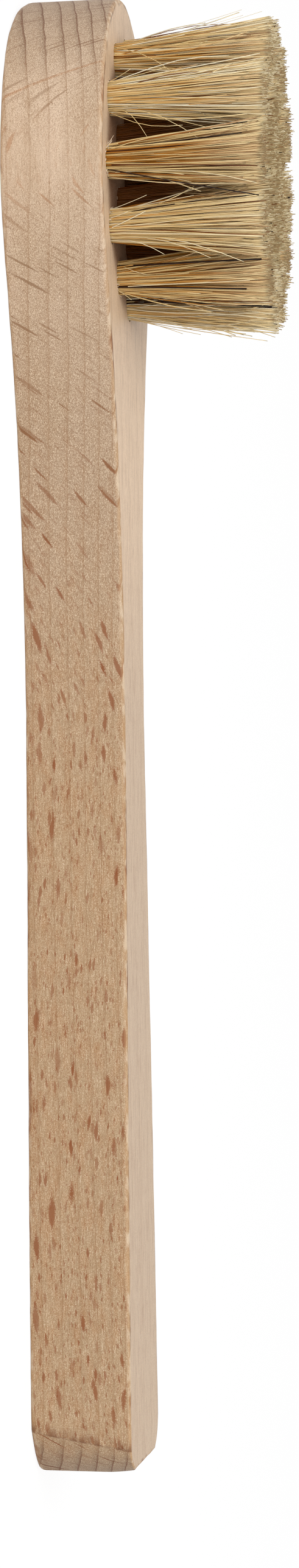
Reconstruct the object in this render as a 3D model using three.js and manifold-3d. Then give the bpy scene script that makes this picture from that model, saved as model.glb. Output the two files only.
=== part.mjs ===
// Shoe polish applicator brush: a flat beech handle with a round head, and tufts of
// natural bristle, each folded over a flat wire anchor at the bottom of a drilled blind hole.
//
// Millimetres. The brush lies on its flat back at Z = 0. +X runs from the head to the end of
// the handle, +Z points through the bristles, and the origin is under the middle of the brush.

import * as THREE from "three";
import { mergeVertices } from "three/addons/utils/BufferGeometryUtils.js";
import Module from "manifold-3d";

// Blank of the handle
const OVERALL_LENGTH = 177;
const THICKNESS = 12;
const EDGE_ROUND = 0.8; // eased edges, front and back

// Plan of the handle. Distances along it count from the tip of the head.
const HEAD_WIDTH = 41;
const HEAD_CROWN = 24; // tip of the head to its widest place
const HEAD_BLEND = 10.7; // how far the head stays full before it draws in
const NECK_WIDTH = 17;
const NECK_DISTANCE = 86.5;
const NECK_BLEND = 41; // how long the neck keeps slim towards the head
const NECK_RUN = 7; // and towards the grip
const END_WIDTH = 24;
const END_RUN = 20; // how long the grip keeps its full width at the end
const CORNER_LENGTH = 4.4; // sanded corners of the end, along the handle
const CORNER_WIDTH = 4; // and across it
const CORNER_FULLNESS = 0.5; // 0 is a flat cut, 1 a round that meets both sides smoothly

// Drilled holes: one in the middle, an inner ring and an outer ring
const FIELD_DISTANCE = 22.2; // tip of the head to the middle of the bristle field
const FIELD_MARGIN = 2.9; // wood outside the outer ring at the head's widest place
const FIELD_DRAW_IN = 0.935; // share of their radius that the rings keep towards the neck
const OUTER_COUNT = 12;
const INNER_COUNT = 6;
const HOLE_DIAMETER = 4.2;
const HOLE_FLOOR = 4; // wood left under the point of the drill
const DRILL_POINT_ANGLE = 118;

// Flat wire anchors, set across the grain
const WIRE_THICKNESS = 0.4;
const WIRE_HEIGHT = 1.6;
const WIRE_BITE = 0.5; // how far each end of the wire enters the wall of its hole
const WIRE_LEAD = 0.3; // lower corners, cut back so that the wire enters the hole

// Bristle tufts. A strand is a lock of bristles that opens towards its tip.
const BRISTLE_LENGTH = 18; // free length above the face of the head
const TRIM_SPREAD = 0.6; // unevenness of the cut tips
const ROOT_RECESS = 1; // the packed root ends this far below the face
const FOLD_THICKNESS = 1.4; // bristle under the anchor
const INNER_STRANDS = 6; // round the middle strand of a tuft
const OUTER_STRANDS = 12;
const STRAND_SIDES = 3;
const STRAND_SINK = 0.3; // how deep a strand is bedded in the root
const HALFWAY_SPREAD = 0.42; // share of the tuft's spread that is reached at half its length

// Clearances
const FIT_GAP = 0.25; // between pieces that seat in one another
const TUFT_GAP = 0.2; // between the tips of neighbouring tufts
const STRAND_INSET = 0.1; // from the outer strands to the side of their root
const STRAND_ROOT_GAP = 0.2; // between the strands of a tuft at the root
const STRAND_TIP_GAP = 0.7; // and at the tips

// Smoothness
const PLAN_SEGMENTS = 14;
const EDGE_SEGMENTS = 3;
const HOLE_SIDES = 16;
const FOLD_SEGMENTS = 4;
const OVERCUT = 1; // cutting bodies run past the faces by this much

// Worked out from the sizes above. Heights at a hole count from the face of the head.
const tipX = -OVERALL_LENGTH / 2;
const endX = OVERALL_LENGTH / 2;
const holeRadius = HOLE_DIAMETER / 2;
const pointHeight = holeRadius / Math.tan(THREE.MathUtils.degToRad(DRILL_POINT_ANGLE / 2));
const wallDepth = THICKNESS - HOLE_FLOOR - pointHeight;
const rootRadius = holeRadius - FIT_GAP;
const wireLength = HOLE_DIAMETER + 2 * WIRE_BITE;
const wireMiddle = -wallDepth + FOLD_THICKNESS + WIRE_HEIGHT / 2;

// Joining and cutting

const wasm = await Module();
wasm.setup();

function toSolid(geometry) {
  const bare = geometry.clone();
  bare.deleteAttribute("normal");
  bare.deleteAttribute("uv");
  const merged = mergeVertices(bare);
  const mesh = new wasm.Mesh({
    numProp: 3,
    vertProperties: Float32Array.from(merged.attributes.position.array),
    triVerts: Uint32Array.from(merged.index.array),
  });
  return new wasm.Manifold(mesh);
}

function toGeometry(solid) {
  const { vertProperties, triVerts } = solid.getMesh();
  const geometry = new THREE.BufferGeometry();
  geometry.setAttribute("position", new THREE.BufferAttribute(vertProperties, 3));
  geometry.setIndex(new THREE.BufferAttribute(triVerts, 1));
  geometry.computeVertexNormals();
  return geometry;
}

// Places of the tufts on the head

function ringOfSites(ringName, count, radius) {
  const ring = [];
  for (let i = 0; i < count; i++) {
    const angle = (2 * Math.PI * i) / count;
    const number = String(i + 1).padStart(2, "0");
    const along = radius * Math.cos(angle);
    ring.push({
      name: `${ringName}_${number}`,
      x: tipX + FIELD_DISTANCE + (along > 0 ? along * FIELD_DRAW_IN : along),
      y: radius * Math.sin(angle),
    });
  }
  return ring;
}

function tuftSites() {
  const outerRadius = HEAD_WIDTH / 2 - FIELD_MARGIN - holeRadius;
  return [
    { name: "centre", x: tipX + FIELD_DISTANCE, y: 0 },
    ...ringOfSites("inner", INNER_COUNT, outerRadius / 2),
    ...ringOfSites("outer", OUTER_COUNT, outerRadius),
  ];
}

function leastSpacing(sites) {
  let least = Infinity;
  for (const one of sites) {
    for (const other of sites) {
      if (one === other) continue;
      least = Math.min(least, Math.hypot(one.x - other.x, one.y - other.y));
    }
  }
  return least;
}

const sites = tuftSites();
const tuftTipRadius = (leastSpacing(sites) - TUFT_GAP) / 2;

// Handle

function handlePlan() {
  const wideX = tipX + HEAD_CROWN;
  const neckX = tipX + NECK_DISTANCE;
  const cornerX = endX - CORNER_LENGTH;
  const headHalf = HEAD_WIDTH / 2;
  const neckHalf = NECK_WIDTH / 2;
  const endHalf = END_WIDTH / 2;
  const flatHalf = endHalf - CORNER_WIDTH;
  // A corner's curve is pulled from the middle of a flat cut towards the sharp corner.
  const pullX = endX - (CORNER_LENGTH / 2) * (1 - CORNER_FULLNESS);
  const pullY = endHalf - (CORNER_WIDTH / 2) * (1 - CORNER_FULLNESS);

  const plan = new THREE.Shape();
  plan.moveTo(wideX, -headHalf);
  plan.bezierCurveTo(wideX + HEAD_BLEND, -headHalf, neckX - NECK_BLEND, -neckHalf, neckX, -neckHalf);
  plan.bezierCurveTo(neckX + NECK_RUN, -neckHalf, cornerX - END_RUN, -endHalf, cornerX, -endHalf);
  plan.quadraticCurveTo(pullX, -pullY, endX, -flatHalf);
  plan.lineTo(endX, flatHalf);
  plan.quadraticCurveTo(pullX, pullY, cornerX, endHalf);
  plan.bezierCurveTo(cornerX - END_RUN, endHalf, neckX + NECK_RUN, neckHalf, neckX, neckHalf);
  plan.bezierCurveTo(neckX - NECK_BLEND, neckHalf, wideX + HEAD_BLEND, headHalf, wideX, headHalf);
  plan.absellipse(wideX, 0, HEAD_CROWN, headHalf, Math.PI / 2, (3 * Math.PI) / 2);
  return plan;
}

function blankGeometry() {
  const blank = new THREE.ExtrudeGeometry(handlePlan(), {
    depth: THICKNESS - 2 * EDGE_ROUND,
    bevelThickness: EDGE_ROUND,
    bevelSize: EDGE_ROUND,
    bevelOffset: -EDGE_ROUND,
    bevelSegments: EDGE_SEGMENTS,
    curveSegments: PLAN_SEGMENTS,
  });
  return blank.translate(0, 0, EDGE_ROUND);
}

function drillGeometry() {
  const profile = [
    new THREE.Vector2(0, -wallDepth - pointHeight),
    new THREE.Vector2(holeRadius, -wallDepth),
    new THREE.Vector2(holeRadius, OVERCUT),
    new THREE.Vector2(0, OVERCUT),
  ];
  return new THREE.LatheGeometry(profile, HOLE_SIDES).rotateX(Math.PI / 2);
}

// A block round the wire, a clearance larger than the wire on every side.
function wireSpaceGeometry() {
  const space = new THREE.BoxGeometry(
    WIRE_THICKNESS + 2 * FIT_GAP,
    wireLength + 2 * FIT_GAP,
    WIRE_HEIGHT + 2 * FIT_GAP,
  );
  return space.translate(0, 0, wireMiddle);
}

// The blank, drilled, with the bites that the ends of the wires leave in the walls.
function handleGeometry() {
  const hole = toSolid(drillGeometry()).add(toSolid(wireSpaceGeometry()));
  let handle = toSolid(blankGeometry());
  for (const site of sites) {
    handle = handle.subtract(hole.translate([site.x, site.y, THICKNESS]));
  }
  return toGeometry(handle);
}

// Anchor

function anchorGeometry() {
  const half = wireLength / 2;
  const top = WIRE_HEIGHT / 2;
  const side = new THREE.Shape();
  side.moveTo(half - WIRE_LEAD, -top);
  side.lineTo(half, WIRE_LEAD - top);
  side.lineTo(half, top);
  side.lineTo(-half, top);
  side.lineTo(-half, WIRE_LEAD - top);
  side.lineTo(WIRE_LEAD - half, -top);
  side.closePath();
  const wire = new THREE.ExtrudeGeometry(side, { depth: WIRE_THICKNESS, bevelEnabled: false });
  wire.translate(0, 0, -WIRE_THICKNESS / 2);
  wire.rotateX(Math.PI / 2).rotateZ(Math.PI / 2);
  return wire.translate(0, 0, wireMiddle);
}

// Tuft

// The packed root: a round bundle turned back on itself under the wire.
function rootSolid() {
  const height = wallDepth - ROOT_RECESS;
  const bundle = new THREE.CylinderGeometry(rootRadius, rootRadius, height, HOLE_SIDES);
  bundle.rotateX(Math.PI / 2).translate(0, 0, -ROOT_RECESS - height / 2);

  const wide = rootRadius + OVERCUT;
  const bend = new THREE.Shape();
  bend.moveTo(-wide, 0);
  bend.lineTo(-rootRadius, 0);
  bend.absarc(0, 0, rootRadius, Math.PI, 2 * Math.PI);
  bend.lineTo(wide, 0);
  bend.lineTo(wide, height);
  bend.lineTo(-wide, height);
  bend.closePath();
  const trough = new THREE.ExtrudeGeometry(bend, {
    depth: 2 * wide,
    bevelEnabled: false,
    curveSegments: FOLD_SEGMENTS,
  });
  trough.translate(0, 0, -wide).rotateX(Math.PI / 2);
  trough.translate(0, 0, rootRadius - wallDepth);

  return toSolid(bundle).intersect(toSolid(trough)).subtract(toSolid(wireSpaceGeometry()));
}

// Rings of strands stand at half reach and at full reach, and the reach is the pack's radius
// less half a strand. The gap between the rings is then reach / 2 - width, which gives the width.
function strandWidth(packRadius, gap) {
  return (2 * packRadius - 4 * gap) / 5;
}

// Levels of a strand: bedded in the root, half way up, and at the tip.
function strandLevels() {
  const rootPack = rootRadius - STRAND_INSET;
  const rootWidth = strandWidth(rootPack, STRAND_ROOT_GAP);
  const tipWidth = strandWidth(tuftTipRadius, STRAND_TIP_GAP);
  const rootReach = rootPack - rootWidth / 2;
  const tipReach = tuftTipRadius - tipWidth / 2;
  return [0, HALFWAY_SPREAD, 1].map((spread) => ({
    reach: THREE.MathUtils.lerp(rootReach, tipReach, spread),
    width: THREE.MathUtils.lerp(rootWidth, tipWidth, spread),
  }));
}

// Where each strand of a tuft stands: its angle, and its share of the reach.
function strandPlaces() {
  const places = [{ angle: 0, share: 0 }];
  for (let i = 0; i < INNER_STRANDS; i++) {
    places.push({ angle: (2 * Math.PI * i) / INNER_STRANDS, share: 0.5 });
  }
  for (let i = 0; i < OUTER_STRANDS; i++) {
    places.push({ angle: (2 * Math.PI * (i + 0.5)) / OUTER_STRANDS, share: 1 });
  }
  return places;
}

function strandsGeometry(tuftNumber) {
  const goldenShare = (Math.sqrt(5) - 1) / 2;
  const levels = strandLevels();
  const places = strandPlaces();
  const positions = [];
  const triangles = [];
  places.forEach((place, strandNumber) => {
    const first = positions.length / 3;
    const uneven = ((tuftNumber * places.length + strandNumber) * goldenShare) % 1;
    const tipHeight = BRISTLE_LENGTH - TRIM_SPREAD * uneven;
    const heights = [-ROOT_RECESS - STRAND_SINK, BRISTLE_LENGTH / 2, tipHeight];
    levels.forEach((level, step) => {
      const middleX = level.reach * place.share * Math.cos(place.angle);
      const middleY = level.reach * place.share * Math.sin(place.angle);
      for (let side = 0; side < STRAND_SIDES; side++) {
        const turn = 2 * Math.PI * (side / STRAND_SIDES + uneven);
        const x = middleX + (level.width / 2) * Math.cos(turn);
        const y = middleY + (level.width / 2) * Math.sin(turn);
        positions.push(x, y, heights[step]);
      }
    });
    const at = (step, side) => first + step * STRAND_SIDES + (side % STRAND_SIDES);
    const last = levels.length - 1;
    for (let step = 0; step < last; step++) {
      for (let side = 0; side < STRAND_SIDES; side++) {
        triangles.push(at(step, side), at(step, side + 1), at(step + 1, side + 1));
        triangles.push(at(step, side), at(step + 1, side + 1), at(step + 1, side));
      }
    }
    for (let side = 1; side < STRAND_SIDES - 1; side++) {
      triangles.push(at(0, 0), at(0, side + 1), at(0, side));
      triangles.push(at(last, 0), at(last, side), at(last, side + 1));
    }
  });
  const strands = new THREE.BufferGeometry();
  strands.setAttribute("position", new THREE.Float32BufferAttribute(positions, 3));
  strands.setIndex(triangles);
  return strands;
}

function tuftGeometry(root, tuftNumber) {
  return toGeometry(root.add(toSolid(strandsGeometry(tuftNumber))));
}

// Assembly

function piece(name, geometry, look) {
  const mesh = new THREE.Mesh(geometry, new THREE.MeshStandardMaterial(look));
  mesh.name = name;
  return mesh;
}

function assembleBrush() {
  const beech = { color: 0xc9a479, roughness: 0.6, metalness: 0 };
  const bristle = { color: 0xb48a55, roughness: 0.5, metalness: 0 };
  const wire = { color: 0xb9b6ae, roughness: 0.35, metalness: 1 };
  const root = rootSolid();
  const brush = new THREE.Group();
  brush.add(piece("handle", handleGeometry(), beech));
  sites.forEach((site, tuftNumber) => {
    const place = new THREE.Group();
    place.position.set(site.x, site.y, THICKNESS);
    place.add(piece(`tuft_${site.name}`, tuftGeometry(root, tuftNumber), bristle));
    place.add(piece(`anchor_${site.name}`, anchorGeometry(), wire));
    brush.add(place);
  });
  return brush;
}

export default assembleBrush();
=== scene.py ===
"""Looks of a shoe polish applicator brush: a beech handle, bristle tufts and their anchor wires."""

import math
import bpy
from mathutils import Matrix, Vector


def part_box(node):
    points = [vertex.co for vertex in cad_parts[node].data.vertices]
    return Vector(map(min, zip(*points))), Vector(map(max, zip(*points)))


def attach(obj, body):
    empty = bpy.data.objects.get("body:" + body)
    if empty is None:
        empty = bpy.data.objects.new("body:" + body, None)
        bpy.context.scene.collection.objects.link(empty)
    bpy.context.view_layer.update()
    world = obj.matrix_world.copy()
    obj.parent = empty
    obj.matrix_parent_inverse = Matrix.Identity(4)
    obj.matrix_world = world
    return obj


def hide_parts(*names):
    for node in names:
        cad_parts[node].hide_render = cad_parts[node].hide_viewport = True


bl_info = {
    "name": "Polish brush",
    "version": (1, 0, 0),
    "blender": (4, 5, 0),
    "location": "3D View > Sidebar > Polish brush",
    "description": "Dresses the packed polish brush with a beech handle, bristle tufts and a studio",
    "category": "Object",
}

import bmesh
import bpy
import numpy as np
from mathutils import Matrix, Vector

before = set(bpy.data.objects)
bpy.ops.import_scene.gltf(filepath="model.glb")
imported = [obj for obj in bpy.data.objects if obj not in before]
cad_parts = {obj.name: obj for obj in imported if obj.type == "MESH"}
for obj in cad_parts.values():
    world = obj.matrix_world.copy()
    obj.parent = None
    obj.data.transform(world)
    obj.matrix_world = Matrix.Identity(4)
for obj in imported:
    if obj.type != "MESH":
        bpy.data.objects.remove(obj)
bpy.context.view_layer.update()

BODY = "root"
MM = 0.001

# The handle's outline, from the same sizes as the construction
HANDLE_LOW, HANDLE_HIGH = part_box("handle")
HEAD_TIP = HANDLE_LOW.x
HANDLE_END = HANDLE_HIGH.x
FACE_HEIGHT = HANDLE_HIGH.z
HEAD_HALF_WIDTH = HANDLE_HIGH.y
HEAD_CROWN = 24.0 * MM
HEAD_BLEND = 10.7 * MM
NECK_HALF_WIDTH = 8.5 * MM
NECK_PLACE = -2.0 * MM
NECK_BLEND = 41.0 * MM
NECK_RUN = 7.0 * MM
END_HALF_WIDTH = 12.0 * MM
END_RUN = 20.0 * MM
CORNER_PLACE = 84.1 * MM
# The end corners' cuts are rounded outwards, and are wider at the back than at the bristle face
CORNER_BULGE = 0.42 * MM
CORNER_TAPER = 0.24
# Share of the handle's thickness at which the end starts to lean back
LEAN_START = 0.7

# The tufts stand where their anchor wires are
RINGS = {"inner": 6, "outer": 12}
SITES = ["centre"] + [f"{ring}_{i:02d}" for ring, count in RINGS.items() for i in range(1, count + 1)]
# Middle of the field of tips along the handle, in millimetres
FIELD_MIDDLE = -66.3

HANDLE_SEED = 41
TUFT_SEED = 700

# The handle's finishes, in the order of its mesh's slots
MILLED, PLANED, TORN = range(3)

# How finely the handle is cut into faces
CROWN_STEPS = 64
SHOULDER_STEPS = 70
GRIP_STEPS = 110
FACET_STEPS = 6
END_STEPS = 14
EASE_STEPS = 6
WALL_STEPS = 12
HOLE_SIDES = 32
SLIVER_STEPS = 5
SLIVER_SIDES = 4
STRAND_SIDES = 3

# Direction of the growth rings across the handle, as a share of width and of thickness
ACROSS_RINGS = (0.225, 0.974)
# Years of growth at a distance across the rings in millimetres: squared, plain and first terms
YEARS = (0.01145, 0.4368, 1.459)
# How far the fibres run out sideways, for each unit of length
GRAIN_SLOPE = 0.04
# Where the end corners' cuts begin at the handle's back, in millimetres, and how this moves with height
CREASE_START = 83.0
CREASE_SLOPE = 0.183
# A long ray across the head, in millimetres from the handle's middle along the rings, and its tilt
LONG_RAY_PLACE = 21.83
LONG_RAY_TILT = 0.073


def screen_colour(red, green, blue):
    """Scene colour of a colour read from a screen, with parts from 0 to 255."""
    shares = np.array([red, green, blue]) / 255.0
    low = shares / 12.92
    high = ((shares + 0.055) / 1.055) ** 2.4
    return tuple(float(part) for part in np.where(shares <= 0.04045, low, high))


def shade(tint, brightness):
    """A colour made darker or brighter."""
    return [part * brightness for part in tint]


def length(name, description, default):
    """A setting in metres."""
    return bpy.props.FloatProperty(
        name=name, description=description, default=default, min=0.0, unit="LENGTH", precision=5
    )


def share(name, description, default):
    """A setting from none to all."""
    return bpy.props.FloatProperty(
        name=name, description=description, default=default, min=0.0, max=1.0, subtype="FACTOR"
    )


def slope(name, description, default):
    """A setting for each unit of length or width."""
    return bpy.props.FloatProperty(name=name, description=description, default=default)


def angle(name, description, degrees):
    """A setting for a turn, given in degrees."""
    return bpy.props.FloatProperty(
        name=name, description=description, default=math.radians(degrees), subtype="ANGLE"
    )


def colour(name, description, red, green, blue):
    """A colour setting, given as it looks on a screen."""
    return bpy.props.FloatVectorProperty(
        name=name,
        description=description,
        default=screen_colour(red, green, blue),
        size=3,
        min=0.0,
        max=1.0,
        subtype="COLOR",
    )


class PolishBrushHandleSettings(bpy.types.PropertyGroup):
    """Sizes and colours of the beech handle."""

    edge_ease: length("Edge easing", "Width of the sanded edges", 0.5 * MM)
    end_back_ease: length("End easing", "Width of the sanded back edge at the handle's end", 1.1 * MM)
    crown_back_ease: length("Crown easing", "Width of the sanded back edge at the head's tip", 1.5 * MM)
    corner_back: length("Corner cut, back", "Length of the end corner's cut at the back face", 5.5 * MM)
    corner_front: length("Corner cut, front", "Length of that cut at the bristle face", 3.3 * MM)
    corner_width: length("Corner cut width", "Width of the end corner's cut", 4.0 * MM)
    end_lean: length("End lean", "How far the end leans back at the bristle face", 0.36 * MM)
    end_skew: slope("End skew", "How much longer the far side is, for each unit of width", 0.05)
    hole_diameter: length("Hole diameter", "Bore that holds a tuft", 4.05 * MM)
    hole_depth: length("Hole depth", "Depth of the straight bore", 6.74 * MM)
    drill_point: length("Drill point", "Depth of the cone under the bore", 1.26 * MM)
    side_head: colour("Side, head", "Milled side of the head", 214, 187, 161)
    side_neck: colour("Side, neck", "Milled side of the neck", 178, 151, 125)
    side_grip: colour("Side, grip", "Milled side of the grip", 178, 147, 112)
    face: colour("Planed face", "Bristle face and back face", 214, 186, 156)
    # Painted shade: warm brown laid on both planed faces round the middle of the tuft field
    painted_shade_between_tufts: colour("Between tufts", "Face where the tufts shelter it", 116, 66, 30)
    end_grain: colour("End grain", "Wood cut across the fibres", 152, 127, 105)
    mottle: colour("Mottle", "Tan patches between the fibres", 172, 129, 88)
    ring: colour("Growth ring", "Late wood at each growth ring", 150, 110, 72)
    fleck: colour("Ray fleck", "Rays cut along their length", 134, 71, 27)
    warm_ray: colour("Warm ray", "Rays on the side of the head", 172, 112, 62)
    warm_edge: colour("Eased edge", "Sanded edges", 200, 158, 112)
    # Pale fibres, also used as painted highlight along the eased edges
    pale_fibre_and_highlight: colour("Pale fibre", "Lifted and torn fibres", 232, 210, 181)


class PolishBrushTuftSettings(bpy.types.PropertyGroup):
    """Sizes and colours of the bristles."""

    bristles: bpy.props.IntProperty(
        name="Bristles", description="Folded bristles in a tuft", default=330, min=20, max=600
    )
    diameter: length("Bristle diameter", "Thickness of a bristle near its root", 0.145 * MM)
    root_radius: length("Root radius", "Radius of a tuft where it leaves its hole", 1.9 * MM)
    tip_radius: length("Tip radius", "Radius of a tuft at its trimmed tips", 3.85 * MM)
    trim: length("Trim", "Unevenness of the trimmed tips", 0.2 * MM)
    gather: share("Gather", "How far the bristles of a lock draw together", 0.36)
    strays: share("Strays", "Share of bristles that leave their lock", 0.05)
    tip_rise: length("Tip rise", "How far the trimmed tips stand above the construction's", 0.35 * MM)
    tip_slant: slope("Tip slant", "Rise towards the head's tip, for each unit of length", 0.015)
    black: colour("Black bristle", "Rare dark bristles", 26, 13, 5)
    brown: colour("Brown bristle", "Dark brown bristles", 128, 70, 22)
    amber: colour("Amber bristle", "Golden brown bristles", 211, 143, 47)
    straw: colour("Straw bristle", "Most of the bristles", 236, 205, 142)
    cream: colour("Cream bristle", "Palest bristles", 248, 238, 208)
    # Painted shade: warm dark brown laid over the bristles near their roots
    painted_root_shade: colour("Root", "Bristles near their roots", 142, 76, 12)
    # Painted shade: a darker brown for the inner tufts, which the outer tufts shade
    inner_root_shade: colour("Sheltered root", "Bristles that the outer tufts shelter", 112, 54, 7)
    bleached: colour("Bleached length", "Bristles towards their tips", 243, 224, 180)
    # Cut ends: greyer as cut bristles are, and darker as painted shade
    cut_tip: colour("Cut tip", "Trimmed ends of darker bristles", 112, 92, 58)
    pale_cut_tip: colour("Pale cut tip", "Trimmed ends of paler bristles", 206, 190, 156)


class PolishBrushStageSettings(bpy.types.PropertyGroup):
    """Camera, floor and light of the studio."""

    lens: bpy.props.FloatProperty(
        name="Lens", description="Focal length of the camera", default=75.24, min=1.0, unit="CAMERA"
    )
    elevation: angle("Elevation", "Camera's angle above the floor", 7.837)
    roll: angle("Roll", "Camera's lean from a square view", 0.828)
    floor: colour("Floor", "Colour of the floor", 238, 238, 238)
    sky: bpy.props.FloatProperty(name="Sky", description="Light from all round", default=0.5, min=0.0)
    key: bpy.props.FloatProperty(
        name="Key lamp", description="Soft lamp in front of the head", default=9.7, min=0.0, unit="POWER"
    )


class Value:
    """An output socket of a finish's nodes. Arithmetic on it adds Math nodes."""

    def __init__(self, finish, socket):
        self.finish = finish
        self.socket = socket

    def also(self, output):
        """Another output of the same node."""
        return Value(self.finish, self.socket.node.outputs[output])

    def maths(self, operation, *inputs):
        """A Math node on these inputs."""
        return self.finish.node("ShaderNodeMath", {"operation": operation}, dict(enumerate(inputs)))

    def __add__(self, other):
        return self.maths("ADD", self, other)

    def __sub__(self, other):
        return self.maths("SUBTRACT", self, other)

    def __rsub__(self, other):
        return self.maths("SUBTRACT", other, self)

    def __mul__(self, other):
        return self.maths("MULTIPLY", self, other)

    def __truediv__(self, other):
        return self.maths("DIVIDE", self, other)

    def __pow__(self, other):
        return self.maths("POWER", self, other)

    def __abs__(self):
        return self.maths("ABSOLUTE", self)

    def highest(self, other):
        """The greater of two values."""
        return self.maths("MAXIMUM", self, other)

    __radd__ = __add__
    __rmul__ = __mul__


class Finish:
    """The node tree of a material or of the world."""

    def __init__(self, tree):
        self.tree = tree
        tree.nodes.clear()

    def node(self, kind, settings, sockets, output=0):
        """Adds a node, sets it up, then gives its sockets their values or links. Returns an output."""
        made = self.tree.nodes.new(kind)
        for name, value in settings.items():
            if name == "stops":
                self.set_stops(made.color_ramp, value)
            else:
                setattr(made, name, value)
        for name, value in sockets.items():
            if isinstance(value, Value):
                self.tree.links.new(value.socket, made.inputs[name])
            else:
                made.inputs[name].default_value = value
        return Value(self, made.outputs[output]) if made.outputs else None

    def set_stops(self, ramp, stops):
        """Gives a colour ramp its stops, as places and scene colours."""
        while len(ramp.elements) < len(stops):
            ramp.elements.new(1.0)
        for element, (place, tint) in zip(ramp.elements, stops, strict=True):
            element.position = place
            element.color = (*tint, 1.0)

    def mix(self, factor, first, second):
        """A colour between two others."""
        first = first if isinstance(first, Value) else (*first, 1.0)
        second = second if isinstance(second, Value) else (*second, 1.0)
        settings = {"data_type": "RGBA", "blend_type": "MIX", "clamp_factor": True}
        return self.node("ShaderNodeMix", settings, {0: factor, 6: first, 7: second}, 2)

    def fade(self, value, low, high):
        """A smooth step from 0 at low to 1 at high."""
        sockets = {"Value": value, "From Min": low, "From Max": high}
        return self.node("ShaderNodeMapRange", {"interpolation_type": "SMOOTHSTEP"}, sockets)

    def fall(self, value, low, high):
        """A smooth step from 1 at low to 0 at high."""
        return 1.0 - self.fade(value, low, high)

    def noise(self, place, detail=2.0, roughness=0.5):
        """Smooth noise about one half."""
        sockets = {"Vector": place, "Scale": 1.0, "Detail": detail, "Roughness": roughness}
        return self.node("ShaderNodeTexNoise", {"noise_dimensions": "3D"}, sockets)

    def point(self, x, y, z):
        """A place from three values."""
        return self.node("ShaderNodeCombineXYZ", {}, {0: x, 1: y, 2: z})

    def split(self, place):
        """The three values of a place."""
        x = self.node("ShaderNodeSeparateXYZ", {}, {0: place})
        return x, x.also(1), x.also(2)

    def place(self):
        """The object's own x, y and z in millimetres."""
        source = self.node("ShaderNodeTexCoord", {}, {}, "Object")
        scaled = self.node("ShaderNodeVectorMath", {"operation": "SCALE"}, {0: source, "Scale": 1.0 / MM})
        return self.split(scaled)

    def attribute(self, name):
        """A number kept on the mesh."""
        return self.node("ShaderNodeAttribute", {"attribute_name": name}, {}, "Fac")

    def surface(self, sockets):
        """Ends the tree in a Principled shader."""
        shader = self.node("ShaderNodeBsdfPrincipled", {}, sockets)
        self.node("ShaderNodeOutputMaterial", {}, {"Surface": shader})


def new_finish(name, kind=Finish):
    """A new material and its empty node tree."""
    material = bpy.data.materials.new(name)
    material.use_nodes = True
    return material, kind(material.node_tree)


class Grain(Finish):
    """Beech as it grows, in the handle's own space, so that every cut shows the same rings and rays."""

    def __init__(self, tree):
        super().__init__(tree)
        self.x, self.y, self.z = self.place()
        across_width, across_thickness = ACROSS_RINGS
        self.radial = self.y * across_width + self.z * across_thickness
        self.tangent = self.z * across_width - self.y * across_thickness - self.x * GRAIN_SLOPE
        normal = self.node("ShaderNodeTexCoord", {}, {}, "Normal")
        across_fibre = abs(self.split(normal)[0])
        self.end_cut = self.fade(across_fibre, 0.28, 0.9)
        self.clean_cut = self.fall(across_fibre, 0.08, 0.34)

    def stretched(self, along, radial, tangent, offset=0.0):
        """A place measured in units of these sizes in millimetres: with the fibre and across it."""
        return self.point(
            self.x * (1.0 / along) + offset, self.radial * (1.0 / radial), self.tangent * (1.0 / tangent)
        )

    def streaks(self, along, across, offset):
        """Fine streaks with the grain."""
        return self.noise(self.stretched(along, across, across, offset), 2.0, 0.6)

    def growth(self):
        """Late wood that darkens to a crisp line at the end of each year's growth."""
        drift = self.noise(self.stretched(60.0, 9.0, 14.0), 2.0) - 0.5
        ripple = self.noise(self.stretched(4.0, 3.0, 2.0, 3.7), 3.0) - 0.5
        radial = self.radial + drift * 1.3 + ripple * 0.42
        squared, plain, first = YEARS
        year = radial * radial * squared + radial * plain + first
        part = year.maths("FRACT", year)
        late = self.fade(part, 0.35, 0.98)
        line = self.fade(part, 0.86, 0.95) * self.fall(part, 0.975, 1.0)
        return late * late, line

    def rays(self, along, radial, tangent, share_on, offset, ragged):
        """Spindles with ragged edges where the wood's rays meet the surface."""
        largest = 0.54
        bend = self.noise(self.stretched(along * 0.5, radial, tangent * 8.0, offset + 9.1), 1.0) - 0.5
        sideways = self.point(0.0, 0.0, bend * 0.5)
        place = self.stretched(along, radial, tangent, offset)
        bent = self.node("ShaderNodeVectorMath", {"operation": "ADD"}, {0: place, 1: sideways})
        settings = {"voronoi_dimensions": "3D", "feature": "F1", "distance": "MINKOWSKI"}
        sockets = {"Vector": bent, "Scale": 1.0, "Exponent": 1.45, "Randomness": 1.0}
        distance = self.node("ShaderNodeTexVoronoi", settings, sockets)
        chance, size, depth = self.split(distance.also("Color"))
        reach = size * size * (0.5 * largest) + largest * 0.5
        edge = self.fall(distance / reach + (ragged - 0.5) * 0.7, 0.55, 1.0)
        shown = self.fade(chance, 1.0 - share_on, 1.0 - share_on + 0.02)
        return edge * shown * (depth * 0.6 + 0.4)


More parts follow.
